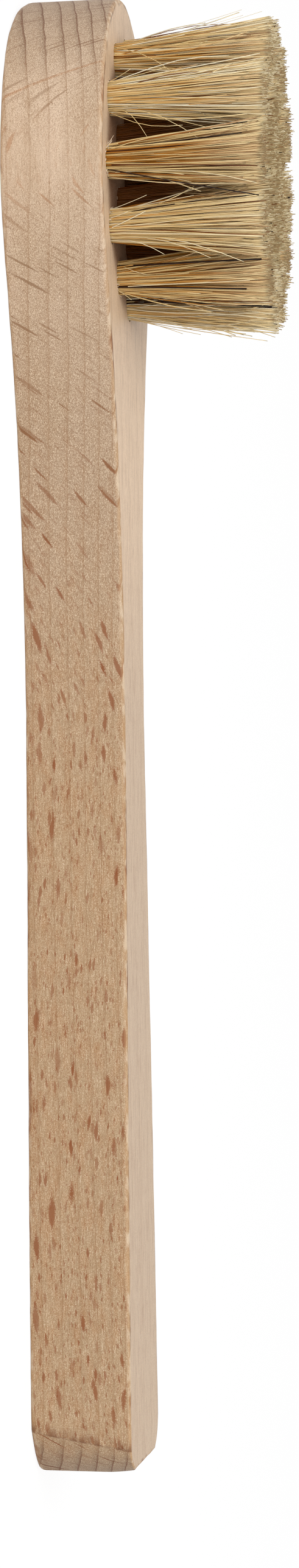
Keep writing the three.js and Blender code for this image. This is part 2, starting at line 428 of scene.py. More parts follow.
class WoodPaint(Grain):
    """Colours of a beech surface, laid over each other from the broadest to the finest."""

    def __init__(self, tree):
        super().__init__(tree)
        self.late, self.line = self.growth()
        self.fine = self.streaks(along=1.7, across=0.06, offset=5.2)
        self.bundles = self.streaks(along=5.0, across=0.32, offset=8.4)
        grit = self.noise(self.stretched(0.15, 0.1, 0.1, 6.6), 2.0, 0.7)
        self.lifted = self.fine * 0.4 + grit * 0.6
        self.large_rays = self.rays(4.8, 13.0, 0.24, share_on=0.85, offset=0.0, ragged=grit)
        self.small_rays = self.rays(2.0, 6.0, 0.12, share_on=0.8, offset=17.3, ragged=grit)
        self.tiny_rays = self.rays(0.9, 4.0, 0.07, share_on=0.7, offset=31.9, ragged=grit)
        self.patches = self.noise(self.stretched(26.0, 6.0, 6.0, 2.2), 2.0)
        self.edge_noise = self.noise(self.stretched(2.2, 0.8, 0.8, 12.0), 3.0)
        self.edge_wear = self.noise(self.stretched(6.0, 2.6, 2.6, 19.0), 4.0, 0.62)

    def lay(self, where, tint):
        """Lays a colour over those that are there."""
        self.tint = self.mix(where, self.tint, tint)

    def planed(self, settings):
        """Ground of the bristle face and the back face, with painted shade where the tufts stand over it.
        """
        self.toward_grip = self.fade(self.x, -35.0, 5.0)
        self.tint = self.mix(self.toward_grip, shade(settings.face, 1.3), settings.face)
        self.lay(self.patches * 0.5, shade(settings.face, 0.88))
        # Painted shade: the faces turn warm brown within the ring of tufts, where the tufts shade the wood
        from_middle = self.x - FIELD_MIDDLE
        from_axis = (from_middle * from_middle + self.y * self.y) ** 0.5
        self.lay(self.fall(from_axis, 14.0, 17.4) * 0.85, settings.painted_shade_between_tufts)
        self.head_ray = shade(settings.ring, 0.8)
        self.ray_strength = 0.55
        self.ring_strength = 0.1
        self.fibre_strength = 0.65

    def milled(self, settings):
        """Ground of the outline's side: smooth where the head is cut with its fibres, then mottled."""
        toward_grip = self.fade(self.x, -40.0, 15.0)
        self.toward_grip = toward_grip
        self.tint = self.mix(self.fade(self.x, -72.0, -28.0), settings.side_head, settings.side_neck)
        self.lay(toward_grip, settings.side_grip)
        self.lay(self.fade(self.patches, 0.35, 0.75) * 0.5, shade(settings.side_grip, 0.9))
        mottle = self.noise(self.stretched(3.0, 1.1, 1.1, 44.0), 3.0, 0.6)
        self.lay(self.fade(mottle, 0.4, 0.68) * (toward_grip * 0.5 + 0.12), settings.mottle)
        clean_cut = self.clean_cut * self.fall(self.x, -60.0, -35.0)
        self.head_ray = self.mix(clean_cut, shade(settings.ring, 0.8), settings.warm_ray)
        self.ray_strength = 1.0 - clean_cut * 0.3
        self.ring_strength = 0.27 - clean_cut * 0.12
        self.fibre_strength = 1.25 - toward_grip * 0.35 - clean_cut * 0.42
        self.large_rays *= self.fade(self.x, -70.0, -30.0) * 0.4 + self.end_cut * 0.4 + 0.6
        self.small_rays *= self.end_cut.highest(toward_grip * 0.7 + 0.3)
        self.tiny_rays *= toward_grip * 0.85 + 0.15
        off_ray = abs(self.tangent - self.radial * LONG_RAY_TILT - LONG_RAY_PLACE)
        long_ray = self.fall(off_ray, 0.03, 0.1) * self.fall(self.x, -70.0, -66.0)
        self.lay(long_ray * self.fade(self.bundles, 0.2, 0.5) * 0.6, settings.warm_ray)

    def end_grain(self, settings):
        """Wood cut across its fibres, at the crown and at the handle's end."""
        tint = settings.end_grain
        self.lay(self.end_cut * 0.8, self.mix(self.toward_grip, shade(tint, 1.2), tint))
        self.lay(self.late * self.fade(self.end_cut, 0.05, 0.5) * 0.5, shade(tint, 0.6))

    def fibres(self, settings):
        """Bundles of fibres, and the pale and dark grit of single ones."""
        strength = self.fibre_strength
        self.lay(self.fade(self.bundles, 0.5, 0.8) * 0.35 * strength, settings.ring)
        self.lay(self.fade(self.lifted, 0.48, 0.66) * 0.72 * strength, settings.pale_fibre_and_highlight)
        self.lay(self.fall(self.lifted, 0.32, 0.52) * 0.62 * strength, shade(settings.ring, 0.72))

    def rings(self, settings):
        """Growth rings, darkest where they are cut across."""
        self.lay(self.late * (self.ring_strength * 0.5), settings.ring)
        across = self.fade(self.end_cut, 0.05, 0.6)
        tint = self.mix(across, settings.ring, shade(settings.fleck, 0.62))
        self.lay(self.line * (self.end_cut * 0.4 + self.ring_strength), tint)

    def flecks(self, settings):
        """Rays, paler on the head than on the grip, and broken by the grit."""
        tint = self.mix(self.fade(self.x, -58.0, -6.0), self.head_ray, settings.fleck)
        tint = self.mix(self.end_cut, tint, shade(settings.fleck, 0.6))
        broken = self.fade(self.lifted, 0.25, 0.6) * 0.45 + 0.6
        depth = broken * (1.0 - self.end_cut * 0.2) * self.ray_strength
        self.lay(self.tiny_rays * (0.6 * self.ray_strength), tint)
        self.lay(self.small_rays * depth * 0.8, tint)
        self.lay(self.large_rays * depth, tint)

    def edges(self, settings):
        """Sanded edges: warm, brown in places, with pale dashes that are partly lifted fibres and partly
        painted highlight.
        """
        worn = self.attribute("eased_edge")
        self.lay(worn * self.fade(self.edge_noise, 0.25, 0.65) * 0.5, settings.warm_edge)
        self.lay(worn * self.fade(self.edge_wear, 0.56, 0.68) * 0.7, settings.fleck)
        # Partly painted highlight: pale dashes along the eased edges
        self.lay(worn * self.fall(self.edge_noise, 0.36, 0.54) * 0.65, settings.pale_fibre_and_highlight)

    def corners(self, settings):
        """A dark crease where each end corner's cut begins."""
        past_crease = self.x - self.z * CREASE_SLOPE - CREASE_START
        burnt = self.fade(past_crease, -1.5, 0.1) * self.fall(past_crease, 0.1, 0.3)
        self.lay(burnt * self.fade(self.edge_noise, 0.3, 0.6) * 0.7, shade(settings.fleck, 0.62))

    def seam(self, settings):
        """Painted shade: a broken dark line along the bristle face's rim."""
        broken = self.attribute("edge_crease") * self.fade(self.edge_wear, 0.48, 0.62)
        self.lay(broken * 0.8, shade(settings.fleck, 0.45))

    def relief(self):
        """Fibres, rings and rays as a fine relief."""
        height = self.lifted * self.fibre_strength + self.bundles * 0.6
        height = height - self.line * 0.6 - self.large_rays * 0.35 - self.small_rays * 0.3
        return self.node("ShaderNodeBump", {}, {"Strength": 0.42, "Distance": 0.06 * MM, "Height": height})


def wood_finish(name, settings, planed):
    """Beech, either planed smooth or milled and sanded round the outline."""
    material, paint = new_finish(name, WoodPaint)
    ground = paint.planed if planed else paint.milled
    cuts = [ground, paint.end_grain, paint.fibres, paint.rings, paint.flecks]
    edges = [paint.edges, paint.seam] if planed else [paint.edges, paint.corners, paint.seam]
    for layer in cuts + edges:
        layer(settings)
    gloss = {"Roughness": paint.fine * 0.16 + (0.44 if planed else 0.52), "Specular IOR Level": 0.35}
    paint.surface({"Base Color": paint.tint, "Normal": paint.relief(), **gloss})
    return material


def torn_fibre_finish(settings):
    """Pale wood fibres that the drill tore up."""
    material, finish = new_finish("torn_beech_fibre", Grain)
    speck = finish.streaks(along=0.6, across=0.2, offset=4.0)
    dull = shade(settings.pale_fibre_and_highlight, 0.72)
    tint = finish.mix(finish.fade(speck, 0.3, 0.7), dull, settings.pale_fibre_and_highlight)
    finish.surface({"Base Color": tint, "Roughness": 0.7})
    return material


def bristle_finish(name, settings, root, root_shade_share, root_shade_end, dull_start, gloss):
    """Natural bristle: each strand's own tone, painted shade near the root, bleached and then dull at the
    tip, where the cut ends are partly painted shade.
    """
    material, finish = new_finish(name)
    tone = finish.attribute("strand_tone")
    along = finish.attribute("strand_along")
    stops = [
        (0.03, settings.black),
        (0.12, settings.brown),
        (0.32, settings.amber),
        (0.52, settings.straw),
        (0.78, shade(settings.straw, 1.04)),
        (0.97, settings.cream),
    ]
    tint = finish.node("ShaderNodeValToRGB", {"stops": stops}, {"Fac": tone})
    # Painted shade: bristles turn warm dark brown towards the root, over as much of them as the finish
    # asks
    painted_root_shade = finish.fall(along, 0.45, root_shade_end) * root_shade_share
    tint = finish.mix(painted_root_shade, tint, root)
    not_dark = finish.fade(tone, 0.06, 0.24)
    bleached = finish.fade(along, 0.55, 0.97) * not_dark * 0.5
    tint = finish.mix(bleached, tint, settings.bleached)
    # Cut ends: partly the cut's own grey, partly painted shade
    cut_tip = finish.fade(along, dull_start, 0.998) * not_dark * 0.7
    cut_tint = finish.mix(finish.fade(tone, 0.4, 0.95), settings.cut_tip, settings.pale_cut_tip)
    tint = finish.mix(cut_tip, tint, cut_tint)
    roughness = tone * -0.1 + 0.42
    finish.surface({"Base Color": tint, "Roughness": roughness, "Specular IOR Level": gloss})
    return material


def wire_finish():
    """Flattened steel wire, drawn lengthwise."""
    material, finish = new_finish("anchor_steel")
    x, y, z = finish.place()
    drawn = finish.noise(finish.point(x * 20.0, y * 0.8, z * 20.0), 3.0)
    tint = finish.mix(drawn, screen_colour(148, 146, 142), screen_colour(196, 194, 190))
    finish.surface({"Base Color": tint, "Roughness": drawn * 0.2 + 0.28, "Metallic": 1.0})
    return material


def floor_finish(settings):
    """Pale floor that looks white to the camera and still shows a soft shadow."""
    material, finish = new_finish("pale_floor")
    plain = finish.node("ShaderNodeBsdfDiffuse", {}, {"Color": (*settings.floor, 1.0)})
    white = finish.node("ShaderNodeEmission", {}, {"Color": (1.0, 1.0, 1.0, 1.0), "Strength": 1.06})
    whitened = seen_directly(finish) * 0.85
    shader = finish.node("ShaderNodeMixShader", {}, {0: whitened, 1: plain, 2: white})
    finish.node("ShaderNodeOutputMaterial", {}, {"Surface": shader})
    return material


def seen_directly(finish):
    """One for rays that show the background: to the camera, in gloss or through glass."""
    camera = finish.node("ShaderNodeLightPath", {}, {}, "Is Camera Ray")
    return camera.highest(camera.also("Is Glossy Ray")).highest(camera.also("Is Transmission Ray"))


def sweep(start, start_run, end_run, end, count):
    """Points on a curve that leaves its start and reaches its end lengthwise."""
    t = np.linspace(0.0, 1.0, count)[:, None]
    start, end = np.array(start), np.array(end)
    first = start + (start_run, 0.0)
    second = end - (end_run, 0.0)
    return (1 - t) ** 3 * start + 3 * (1 - t) ** 2 * t * first + 3 * (1 - t) * t**2 * second + t**3 * end


def half_outline(corner_length, corner_width):
    """One side of the handle seen from above, from the middle of the head to the middle of the end."""
    head_middle = HEAD_TIP + HEAD_CROWN
    turn = np.linspace(math.pi, math.pi / 2, CROWN_STEPS)
    crown = np.stack([head_middle + HEAD_CROWN * np.cos(turn), HEAD_HALF_WIDTH * np.sin(turn)], 1)
    widest = (head_middle, HEAD_HALF_WIDTH)
    neck = (NECK_PLACE, NECK_HALF_WIDTH)
    corner = (CORNER_PLACE, END_HALF_WIDTH)
    shoulder = sweep(widest, HEAD_BLEND, NECK_BLEND, neck, SHOULDER_STEPS)
    grip = sweep(neck, NECK_RUN, END_RUN, corner, 4 * GRIP_STEPS)
    along = np.linspace(NECK_PLACE, HANDLE_END - corner_length, GRIP_STEPS)
    side = np.stack([along, np.interp(along, grip[:, 0], grip[:, 1])], 1)
    cut_end = np.array([HANDLE_END, END_HALF_WIDTH - corner_width])
    t = np.linspace(0.0, 1.0, FACET_STEPS)[:, None]
    facet = side[-1] * (1 - t) + cut_end * t + 4 * t * (1 - t) * CORNER_BULGE
    to_middle = np.linspace(1.0, 0.0, END_STEPS)
    end = np.stack([np.full(END_STEPS, HANDLE_END), cut_end[1] * to_middle], 1)
    return np.concatenate([crown, shoulder[1:], side[1:], facet[1:], end[1:]])


def outline(settings, height):
    """The handle's whole outline at a height above its back, counter-clockwise from the head's tip."""
    up = np.clip(height / FACE_HEIGHT, 0.0, 1.0)
    corner_length = settings.corner_back + (settings.corner_front - settings.corner_back) * up
    far_side = half_outline(corner_length, settings.corner_width * (1 + CORNER_TAPER * (0.5 - up)))
    near_side = far_side * (1.0, -1.0)
    points = np.concatenate([near_side, far_side[-2:0:-1]])
    at_end = np.clip((points[:, 0] - CORNER_PLACE) / (HANDLE_END - CORNER_PLACE), 0.0, 1.0)
    points[:, 0] += at_end * settings.end_skew * (points[:, 1] + END_HALF_WIDTH - settings.corner_width)
    lean = np.clip((up - LEAN_START) / (1 - LEAN_START), 0.0, 1.0) ** 1.5
    points[:, 0] -= at_end * settings.end_lean * lean
    return points


def outward(points):
    """Unit normals of a closed outline that runs counter-clockwise."""
    step = np.roll(points, -1, 0) - np.roll(points, 1, 0)
    normals = np.stack([step[:, 1], -step[:, 0]], 1)
    return normals / np.linalg.norm(normals, axis=1)[:, None]


def wander(rng, places, shortest, longest, waves=14):
    """A smooth random line over places, of about unit size."""
    total = np.zeros(len(places))
    for _ in range(waves):
        wave = math.exp(rng.uniform(math.log(shortest), math.log(longest)))
        total += np.sin(2 * math.pi * (places / wave + rng.random()))
    return total / math.sqrt(waves / 2)


class HandleShape:
    """Collects the vertices, faces and edge marks of the handle."""

    # Unevenness of the easing, its shortest and longest waves, its least and most
    UNEVEN = 0.13
    UNEVEN_WAVES = (3 * MM, 40 * MM)
    EASE_LIMITS = (0.6, 1.5)
    # Waves that sanding left in the side
    SANDING = 0.025 * MM
    SANDING_WAVES = (9 * MM, 60 * MM)
    # Lengths over which the easing changes at the end and at the head's tip, and how much less the end has
    END_REACH = 7 * MM
    END_BLEND = 4 * MM
    TIP_REACH = 9 * MM
    LESS_AT_END = 0.6
    # Turn of the easing before it meets the bristle face at a crisp line
    FRONT_TURN = 0.36 * math.pi
    # Width of a rim of faces round the back and the bristle face
    RIM = 0.3 * MM
    # Holes: rim and drill tip as shares of the bore's radius, and the rim's depth and raggedness
    RIM_FLARE = 1.045
    DRILL_TIP = 0.08
    FLARE_DEPTH = 0.16 * MM
    RAGGED = 0.012

    def __init__(self, settings):
        self.settings = settings
        self.mesh = bmesh.new()
        self.worn = self.mesh.verts.layers.float.new("eased_edge")
        self.crease = self.mesh.verts.layers.float.new("edge_crease")

    def ring(self, points, worn=0.0):
        """Adds a closed line of vertices."""
        made = [self.mesh.verts.new(point) for point in points]
        for vertex in made:
            vertex[self.worn] = worn
        return made

    def join(self, first, second, slot, smooth=True):
        """Faces between two lines of vertices."""
        count = len(first)
        for i in range(count):
            j = (i + 1) % count
            face = self.mesh.faces.new((first[i], first[j], second[j], second[i]))
            face.smooth = smooth
            face.material_index = slot

    def fill(self, loops, slot, upward):
        """A flat face between an outer line of vertices and any holes in it."""
        edges = []
        for loop in loops:
            for i, vertex in enumerate(loop):
                pair = (vertex, loop[(i + 1) % len(loop)])
                edges.append(self.mesh.edges.get(pair) or self.mesh.edges.new(pair))
        made = bmesh.ops.triangle_fill(self.mesh, use_beauty=True, edges=edges)
        for face in made["geom"]:
            if isinstance(face, bmesh.types.BMFace):
                face.normal_update()
                if (face.normal.z > 0) != upward:
                    face.normal_flip()
                face.material_index = slot
                face.smooth = False

    def easing(self, rng):
        """Widths of the eased edges at the bristle face and at the back, and the waves of the side."""
        settings = self.settings
        middle = outline(settings, FACE_HEIGHT / 2)
        steps = np.linalg.norm(np.diff(middle, axis=0, append=middle[:1]), axis=1)
        run = np.concatenate([[0.0], np.cumsum(steps)[:-1]])
        uneven = 1 + self.UNEVEN * wander(rng, run, *self.UNEVEN_WAVES)
        uneven_back = 1 + self.UNEVEN * wander(rng, run, *self.UNEVEN_WAVES)
        ease = settings.edge_ease
        at_end = np.clip((middle[:, 0] - HANDLE_END + self.END_REACH) / self.END_BLEND, 0.0, 1.0)
        at_tip = np.clip((HEAD_TIP + self.TIP_REACH - middle[:, 0]) / self.TIP_REACH, 0.0, 1.0)
        front = ease * np.clip(uneven, *self.EASE_LIMITS) * (1 - self.LESS_AT_END * at_end)
        back = ease * np.clip(uneven_back, *self.EASE_LIMITS)
        back += (settings.end_back_ease - ease) * at_end**2 + (settings.crown_back_ease - ease) * at_tip
        sanding = self.SANDING * wander(rng, run, *self.SANDING_WAVES)
        return front, back, sanding

    def rows(self, front, back):
        """Lines of the side, from the back to the bristle face: inset, height and wear of each."""
        rows = []
        for turn in np.linspace(0.0, math.pi / 2, EASE_STEPS):
            rows.append((back * (1 - math.sin(turn)), back * (1 - math.cos(turn)), math.cos(turn)))
        top = FACE_HEIGHT - front
        for up in np.linspace(0.0, 1.0, WALL_STEPS + 1)[1:-1]:
            rows.append((np.zeros(len(front)), back + (top - back) * up, 0.0))
        for turn in np.linspace(0.0, self.FRONT_TURN, EASE_STEPS):
            rows.append((front * (1 - math.cos(turn)), top + front * math.sin(turn), math.sin(turn)))
        rows.append((rows[-1][0] + front * 0.42, np.full(len(front), FACE_HEIGHT), 0.8))
        return rows

    def walls(self, rng):
        """The outline's side with eased edges. Returns the rims of the back and of the bristle face."""
        front, back, sanding = self.easing(rng)
        loops = []
        for inset, height, worn in self.rows(front, back):
            points = outline(self.settings, float(np.mean(height)))
            flat = points + outward(points) * (sanding - inset)[:, None]
            loops.append(self.ring(np.column_stack([flat, height]), min(1.0, worn * 1.2)))
        for first, second in zip(loops[:-1], loops[1:], strict=True):
            self.join(first, second, MILLED)
        # Marks the bristle face's rim for a painted shade line, and keeps its edges sharp
        for i, vertex in enumerate(loops[-1]):
            vertex[self.crease] = 1.0
            self.mesh.edges.get((vertex, loops[-1][i - 1])).smooth = False
        inner = []
        for loop, height in ((loops[0], 0.0), (loops[-1], FACE_HEIGHT)):
            points = np.array([vertex.co[:2] for vertex in loop])
            inset = points - outward(points) * self.RIM
            inner.append(self.ring(np.column_stack([inset, np.full(len(inset), height)])))
        self.join(inner[0], loops[0], PLANED, smooth=False)
        self.join(loops[-1], inner[1], PLANED, smooth=False)
        return inner

    def hole(self, rng, site):
        """A drilled hole with a ragged rim. Returns its edge in the bristle face."""
        settings = self.settings
        turn = np.linspace(0.0, 2 * math.pi, HOLE_SIDES, endpoint=False)
        ragged = 1 + self.RAGGED * wander(rng, turn, 0.5, 3.0)
        radius = settings.hole_diameter / 2
        bore_end = FACE_HEIGHT - settings.hole_depth
        rows = [
            (self.RIM_FLARE * ragged, FACE_HEIGHT),
            (1.0, FACE_HEIGHT - self.FLARE_DEPTH),
            (1.0, bore_end),
            (self.DRILL_TIP, bore_end - settings.drill_point),
        ]
        loops = []
        for size, height in rows:
            flat_x = site[0] + radius * size * np.cos(turn)
            flat_y = site[1] + radius * size * np.sin(turn)
            loops.append(self.ring(np.column_stack([flat_x, flat_y, np.full(HOLE_SIDES, height)])))
        for first, second in zip(loops[:-1], loops[1:], strict=True):
            self.join(second, first, MILLED)
        bottom = self.mesh.faces.new(loops[-1])
        bottom.normal_update()
        if bottom.normal.z < 0:
            bottom.normal_flip()
        return loops[0]

    def slivers(self, paths, radii):
        """Torn fibres, as thin closed tubes."""
        points, faces, _ = tubes(paths, radii, SLIVER_SIDES)
        made = [self.mesh.verts.new(point) for point in points]
        for corners in faces:
            face = self.mesh.faces.new([made[i] for i in corners])
            face.material_index = TORN


def tubes(paths, radii, sides):
    """Closed tubes along paths. Returns vertices, faces and each vertex's step on its path."""
    count, steps = paths.shape[:2]
    tangent = np.gradient(paths, axis=1)
    tangent /= np.linalg.norm(tangent, axis=2)[:, :, None]
    level = np.array([0.0, 1.0, 0.0])
    first = level - tangent * (tangent @ level)[:, :, None]
    first /= np.linalg.norm(first, axis=2)[:, :, None]
    second = np.cross(tangent, first)
    turn = np.arange(sides) * 2 * math.pi / sides
    ring = first[:, :, None] * np.cos(turn)[:, None] + second[:, :, None] * np.sin(turn)[:, None]
    points = (paths[:, :, None] + ring * radii[:, :, None, None]).reshape(-1, 3)
    start = np.arange(count)[:, None, None] * steps * sides
    here = start + np.arange(steps - 1)[None, :, None] * sides + np.arange(sides)
    beside = start + np.arange(steps - 1)[None, :, None] * sides + (np.arange(sides) + 1) % sides
    walls = np.stack([here, beside, beside + sides, here + sides], -1).reshape(-1, 4)
    low_ends = start[:, 0] + np.arange(sides)[::-1]
    high_ends = start[:, 0] + (steps - 1) * sides + np.arange(sides)
    faces = walls.tolist() + low_ends.tolist() + high_ends.tolist()
    place = np.tile(np.repeat(np.arange(steps), sides), count)
    return points, faces, place


def site_of(name):
    """Where a tuft's hole is drilled, from the wire that holds it."""
    low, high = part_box(f"anchor_{name}")
    return np.array([(low.x + high.x) / 2, (low.y + high.y) / 2, (low.z + high.z) / 2])


def rim_slivers(rng, settings, site, count, longest, heading, spread):
    """Fibres that stand up at a hole's rim, as paths and thicknesses."""
    t = np.linspace(0.0, 1.0, SLIVER_STEPS)
    paths, radii = [], []
    rim = settings.hole_diameter / 2 * 1.03
    for _ in range(count):
        turn = heading + rng.normal(0.0, spread)
        size = longest * rng.uniform(0.45, 1.0)
        foot = np.array([site[0] + rim * math.cos(turn), site[1] + rim * math.sin(turn), FACE_HEIGHT])
        lean = np.array([rng.normal(0.0, 0.7), rng.normal(0.0, 0.5), rng.uniform(0.35, 1.0)])
        lean /= np.linalg.norm(lean)
        curl = np.array([rng.normal(0.0, 0.35), rng.normal(0.0, 0.35), rng.uniform(-0.4, 0.1)])
        rise = (t * size - 0.1 * MM)[:, None]
        paths.append(foot + rise * lean + (t**2 * size)[:, None] * curl)
        radii.append(rng.uniform(0.05, 0.1) * MM * (1.0 - 0.75 * t))
    return np.array(paths), np.array(radii)


def add_object(name, data):
    """A new object in the scene."""
    made = bpy.data.objects.new(name, data)
    bpy.context.scene.collection.objects.link(made)
    return made


def add_piece(name, mesh, slot, *replaced):
    """A new piece, which rides on the brush and stands for the named nodes."""
    piece = add_object(name, mesh)
    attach(piece, BODY)
    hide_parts(*replaced)


class PolishBrushMakeHandle(bpy.types.Operator):
    """Builds the beech handle with its drilled holes, eased edges and cut end corners"""

    bl_idname = "polish_brush.make_handle"
    bl_label = "Make the handle"

    SHARP_ANGLE = math.radians(26)

    # Fibres torn up at every hole: how many, how long and how spread
    FRAYS = {"count": 3, "longest": 0.5 * MM, "spread": 1.2}

    # Torn fibres that stand out most: the tuft, how many, how long, which way round its hole, how spread
    TEARS = (
        ("outer_10", 11, 1.5 * MM, 3.75, 0.16),
        ("outer_11", 4, 0.7 * MM, 3.9, 0.3),
        ("outer_09", 4, 0.6 * MM, 3.6, 0.3),
        ("outer_12", 5, 0.6 * MM, 5.4, 0.4),
        ("outer_10", 3, 0.8 * MM, 5.6, 0.3),
    )

    def execute(self, context):
        settings = context.scene.polish_brush_handle
        rng = np.random.default_rng(HANDLE_SEED)
        shape = HandleShape(settings)
        back, face = shape.walls(rng)
        rims = [shape.hole(rng, site_of(name)) for name in SITES]
        shape.fill([back], PLANED, upward=False)
        shape.fill([face, *rims], PLANED, upward=True)
        for name in SITES:
            heading = rng.uniform(0.0, 2 * math.pi)
            shape.slivers(*rim_slivers(rng, settings, site_of(name), heading=heading, **self.FRAYS))
        for name, count, longest, heading, spread in self.TEARS:
            shape.slivers(*rim_slivers(rng, settings, site_of(name), count, longest, heading, spread))
        mesh = bpy.data.meshes.new("beech_handle")
        shape.mesh.to_mesh(mesh)
        shape.mesh.free()
        mesh.set_sharp_from_angle(angle=self.SHARP_ANGLE)
        mesh.materials.append(wood_finish("milled_beech", settings, planed=False))
        mesh.materials.append(wood_finish("planed_beech", settings, planed=True))
        mesh.materials.append(torn_fibre_finish(settings))
        add_piece("beech_handle", mesh, "beech", "handle")
        return {"FINISHED"}


class TuftShape:
    """Folded bristles of one tuft, as paths in millimetres about the tuft's own axis."""

    # Steps of a bristle from the hole's rim to its tip
    FREE_STEPS = np.array([0.0, 0.16, 0.36, 0.58, 0.8, 1.0])
    # The wire, and how far from its middle a bristle folds round it
    WIRE_HALF_HEIGHT = 0.8
    FOLD_SIDE = 0.25
    # Most that a spiral's first place is turned
    ANY_TURN = 6.3
    # Locks: their count, the turn between them, scatter of their roots and tips
    LOCKS = 15
    LOCK_TURN = 2.4
    LOCK_SCATTER = 0.12
    LOCK_SHIFT = 0.45
    MOST_SHIFT = 0.7
    # Scatter of tips and of strays' tips, and what is left of it outside the tuft
    TIP_SCATTER = 0.55
    STRAY_SCATTER = 1.2
    KEPT_OUTSIDE = 0.45
    # Share of short bristles, and what is cut off them and off strays
    SHORT_SHARE = 0.09
    SHORT_BY = (0.3, 2.4)
    STRAY_SHORT_BY = 9.0
    # Bow of a bristle, how many times more a stray has, and a second wave
    BOW = 0.17
    STRAY_BOW = 2.6
    WAVE = 0.08
    # Scatter of the roots, and of those folded over
    ROOT_SCATTER = 0.05
    FOLDED_SCATTER = 0.09
    # How much of a bristle's opening out comes late
    OPEN_LATE = 0.15
    # Fold: space under the wire, depth of the outermost bristles below that, rise of the fold's sides
    UNDER_GAP = 0.12
    FOLD_DEPTH = 1.15
    FOLD_RISE = 0.25
    # Share of a bristle's way to its tip that lies in the hole, and that lies beside the wire
    HOLE_SHARE = 0.2
    WIRE_SHARE = 0.06
    # Painted shade: how much darker and more amber the tuft's middle is drawn, and how much locks differ
    # in tone
    DEPTH_SHADE = 0.5
    LOCK_WARMTH = 0.1

    def __init__(self, rng, settings, site, tip_height, fray):
        self.rng = rng
        self.fray = fray
        self.site = site / MM
        self.root = settings.root_radius / MM
        self.tip = settings.tip_radius / MM
        self.trim = settings.trim / MM
        self.slant = settings.tip_slant
        self.gather = settings.gather
        self.strays = settings.strays
        self.face = FACE_HEIGHT / MM
        self.top = (tip_height + settings.tip_rise) / MM

    def roots(self, count):
        """Where bristles leave the hole: a packed half disc, and its other half folded over."""
        index = np.arange(2 * count) + 0.5
        radius = self.root * np.sqrt(index / (2 * count))
        turn = index * math.pi * (3 - math.sqrt(5)) + self.rng.random() * self.ANY_TURN
        disc = np.stack([radius * np.cos(turn), radius * np.sin(turn)], 1)
        half = disc[disc[:, 0] > 0]
        half = half + self.rng.normal(0.0, self.ROOT_SCATTER, half.shape)
        folded = half * (-1.0, 1.0) + self.rng.normal(0.0, self.FOLDED_SCATTER, half.shape)
        return half, folded

    def tips(self, roots, lock_roots, lock_shift):
        """Where bristles end: spread out, drawn into locks, with a few strays."""
        rng = self.rng
        spread = roots * (self.tip / self.root)
        reach = np.linalg.norm(roots, axis=1) / self.root
        spread = spread + rng.normal(0.0, self.TIP_SCATTER, spread.shape)
        near = np.linalg.norm(roots[:, None] - lock_roots[None], axis=2).argmin(1)
        middle = lock_roots[near] * (self.tip / self.root)
        drawn = middle + (spread - middle) * (1 - self.gather) + lock_shift[near]
        towards_neck = np.clip(roots[:, 0] / self.root, 0.0, 1.0)
        astray = rng.random(len(roots)) < self.strays * (0.4 + reach) * (1.0 + self.fray * towards_neck)
        drawn[astray] = spread[astray] + rng.normal(0.0, self.STRAY_SCATTER, (int(astray.sum()), 2))
        far_out = np.linalg.norm(drawn, axis=1)
        drawn_in = self.tip + self.KEPT_OUTSIDE * (far_out - self.tip)
        kept = np.where(far_out > self.tip, drawn_in, far_out)
        return drawn * (kept / far_out)[:, None], astray

    def heights(self, tips):
        """Trimmed heights, some of them short."""
        rng = self.rng
        count = len(tips)
        slant = self.slant * (FIELD_MIDDLE - self.site[0] - tips[:, 0])
        height = self.top + slant + rng.normal(0.0, self.trim, count)
        short = rng.random(count) < self.SHORT_SHARE
        return np.where(short, height - rng.uniform(*self.SHORT_BY, count), height)

    def legs(self, roots, tips, heights, bow, wave=0.0):
        """Paths from the hole's rim to the tips, bowed and with a wave."""
        s = self.FREE_STEPS[None, :, None]
        open_out = (1 - self.OPEN_LATE) * s + self.OPEN_LATE * s**2
        flat = roots[:, None] + (tips - roots)[:, None] * open_out + bow[:, None] * np.sin(math.pi * s)
        flat = flat + np.reshape(wave, (-1, 1, 1)) * np.sin(2 * math.pi * s) * (1.0, -0.6)
        rise = self.face + (heights - self.face)[:, None] * self.FREE_STEPS[None]
        return np.concatenate([flat, rise[:, :, None]], 2)

    def beside_wire(self, roots):
        """How far out bristles pass the wire, inside the hole."""
        out = self.FOLD_SIDE + np.abs(roots[:, 0]) * (1 - self.FOLD_SIDE / self.root)
        return np.minimum(out, np.sqrt(np.maximum(self.root**2 - roots[:, 1] ** 2, 0.1)))

    def fold(self, right, left):
        """Paths from one leg under the wire to the other."""
        wire = self.site[2]
        under = wire - self.WIRE_HALF_HEIGHT
        out_right = self.beside_wire(right)
        out_left = self.beside_wire(left)
        y_right = right[:, 1]
        y_left = left[:, 1]
        deep = under - self.UNDER_GAP - self.FOLD_DEPTH * (out_right + out_left) / (2 * self.root)
        shallow = (under + deep) / 2 + self.FOLD_RISE
        middle = (y_right + y_left) / 2
        level = np.full(len(middle), wire + self.WIRE_HALF_HEIGHT * 0.6)
        points = [
            (out_right, y_right, level),
            (out_right * 0.8, y_right, shallow),
            (np.zeros(len(middle)), middle, deep),
            (-out_left * 0.8, y_left, shallow),
            (-out_left, y_left, level),
        ]
        return np.stack([np.stack(point, 1) for point in points], 1)

